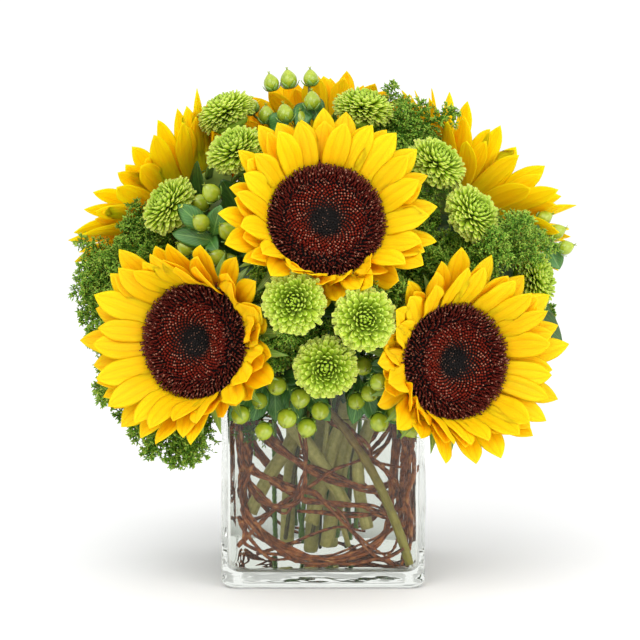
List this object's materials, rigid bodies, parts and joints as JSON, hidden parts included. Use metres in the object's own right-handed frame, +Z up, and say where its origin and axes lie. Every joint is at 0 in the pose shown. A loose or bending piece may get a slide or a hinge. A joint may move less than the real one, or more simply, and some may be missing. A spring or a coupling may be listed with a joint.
{
  "type": "sunflowers in a vase",
  "caption": "Round bouquet of sunflowers, green button chrysanthemums, hypericum and goldenrod in a square glass vase of water with curly willow.",
  "frame": {"origin": "centre of the vase's underside", "axes": "+Z up, -Y towards the front of the bouquet, +X to the right of it"},
  "size_m": [0.3143, 0.2883, 0.3215],
  "materials": {
    "glass": "clear pressed glass, slightly wavy",
    "water": "clear water",
    "willow": "reddish brown bark",
    "petals": "golden yellow petals, orange at the base",
    "seed_disc": "dark maroon florets tipped with brown",
    "flower_green": "fresh green stem, bracts and leaves",
    "chrysanthemum": "lime green florets",
    "hypericum": "glossy green berries",
    "goldenrod": "small green buds"
  },
  "bodies": {
    "root": {"chrysanthemum_1": "chrysanthemum", "chrysanthemum_2": "chrysanthemum", "chrysanthemum_3": "chrysanthemum", "chrysanthemum_4": "chrysanthemum", "chrysanthemum_5": "chrysanthemum", "chrysanthemum_6": "chrysanthemum", "goldenrod_1": "goldenrod", "goldenrod_2": "goldenrod", "goldenrod_3": "goldenrod", "goldenrod_4": "goldenrod", "goldenrod_5": "goldenrod", "goldenrod_6": "goldenrod", "goldenrod_7": "goldenrod", "goldenrod_8": "goldenrod", "goldenrod_9": "goldenrod", "hypericum_1": "hypericum", "hypericum_2": "hypericum", "hypericum_3": "hypericum", "hypericum_4": "hypericum", "hypericum_5": "hypericum", "hypericum_6": "hypericum", "hypericum_7": "hypericum", "sunflower_1_disc": "seed_disc", "sunflower_1_petals": "petals", "sunflower_1_stem": "flower_green", "sunflower_2_disc": "seed_disc", "sunflower_2_petals": "petals", "sunflower_2_stem": "flower_green", "sunflower_3_disc": "seed_disc", "sunflower_3_petals": "petals", "sunflower_3_stem": "flower_green", "sunflower_4_disc": "seed_disc", "sunflower_4_petals": "petals", "sunflower_4_stem": "flower_green", "sunflower_5_disc": "seed_disc", "sunflower_5_petals": "petals", "sunflower_5_stem": "flower_green", "sunflower_6_disc": "seed_disc", "sunflower_6_petals": "petals", "sunflower_6_stem": "flower_green", "vase": "glass", "water": "water", "willow_1": "willow", "willow_2": "willow", "willow_3": "willow", "willow_4": "willow", "willow_5": "willow", "willow_6": "willow"}
  },
  "joints": []
}
